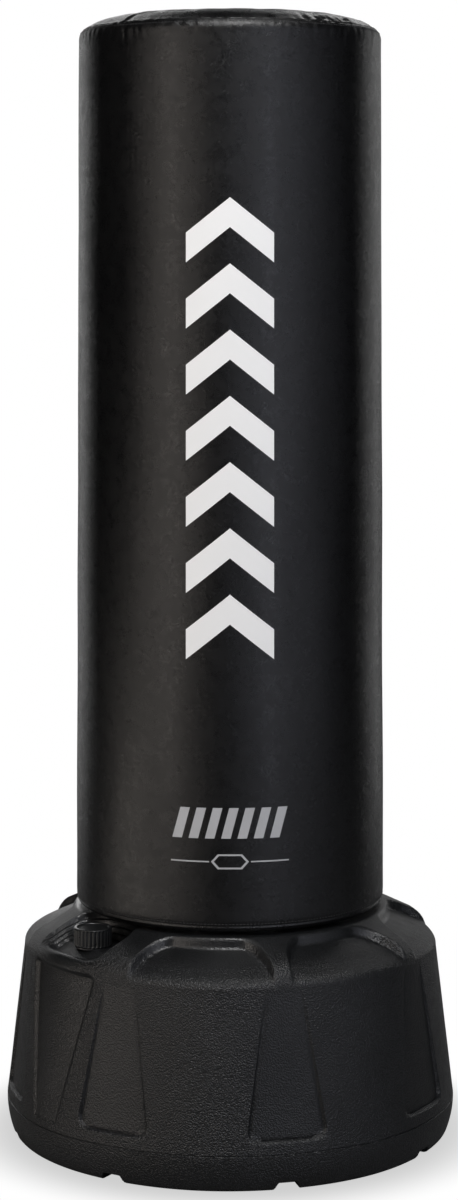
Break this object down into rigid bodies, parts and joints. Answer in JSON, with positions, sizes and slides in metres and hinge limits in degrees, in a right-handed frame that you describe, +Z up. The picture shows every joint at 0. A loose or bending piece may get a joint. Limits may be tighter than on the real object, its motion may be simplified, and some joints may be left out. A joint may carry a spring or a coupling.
{
  "type": "free-standing punching bag",
  "caption": "Tall padded striking column with a vinyl cover, screwed onto a round moulded base that is filled with water through a screw cap.",
  "frame": {"origin": "centre of the base's underside, on the floor", "axes": "+Z up along the bag's axis, -Y towards the printed front, +X to the right of someone looking at the front"},
  "size_m": [0.6927, 0.6928, 1.72],
  "materials": {
    "tank_polyethylene": "pebble-grained, satin",
    "cap_polypropylene": "fine-grained, satin",
    "post_polyethylene": "smooth, satin",
    "tube_polyethylene": "smooth, extruded",
    "washer_nylon": "smooth",
    "collar_nylon": "smooth",
    "water": "clear liquid",
    "gasket_rubber": "matte",
    "zinc_steel": "zinc plated",
    "insert_brass": "turned",
    "board_plywood": "sanded plywood",
    "foam_firm": "cut foam",
    "foam_soft": "cut foam",
    "cover_vinyl": "grained vinyl, satin",
    "print_white": "screen-printed ink",
    "print_grey": "screen-printed ink"
  },
  "bodies": {
    "base": {"base_tank": "tank_polyethylene", "ballast_water": "water", "threaded_post": "post_polyethylene", "post_screws": "zinc_steel", "post_inserts": "insert_brass", "fill_neck": "post_polyethylene"},
    "cap_seal": {"cap_gasket": "gasket_rubber"},
    "cap": {"fill_cap": "cap_polypropylene"},
    "washer": {"slip_washer": "washer_nylon"},
    "bag": {"threaded_collar": "collar_nylon", "collar_bolts": "zinc_steel", "tee_nuts": "zinc_steel", "bottom_board": "board_plywood", "core_tube": "tube_polyethylene", "core_plug": "tube_polyethylene", "foam_inner": "foam_firm", "foam_outer": "foam_soft", "foam_top": "foam_soft", "cover_side": "cover_vinyl", "cover_top": "cover_vinyl", "cover_hem": "cover_vinyl", "hem_staples": "zinc_steel", "front_marks": "print_white", "lower_marks": "print_grey"}
  },
  "joints": [
    {"name": "bag_turn", "type": "hinge", "parent": "base", "child": "washer", "pos_m": [0, 0, 0.345], "axis": [0, 0, 1], "range_deg": [0, 540]},
    {"name": "bag_lift", "type": "slide", "parent": "washer", "child": "bag", "axis": [0, 0, 1], "range_m": [0, 0.024]},
    {"name": "cap_turn", "type": "hinge", "parent": "base", "child": "cap_seal", "pos_m": [-0.20579, -0.15395, 0.335], "axis": [0, 0, 1], "range_deg": [0, 720]},
    {"name": "cap_lift", "type": "slide", "parent": "cap_seal", "child": "cap", "axis": [0, 0, 1], "range_m": [0, 0.008]}
  ],
  "couplings": [
    {"joint": "bag_lift", "follows": "bag_turn", "m_per_rad": 0.0025465},
    {"joint": "cap_lift", "follows": "cap_turn", "m_per_rad": 0.00063662}
  ]
}
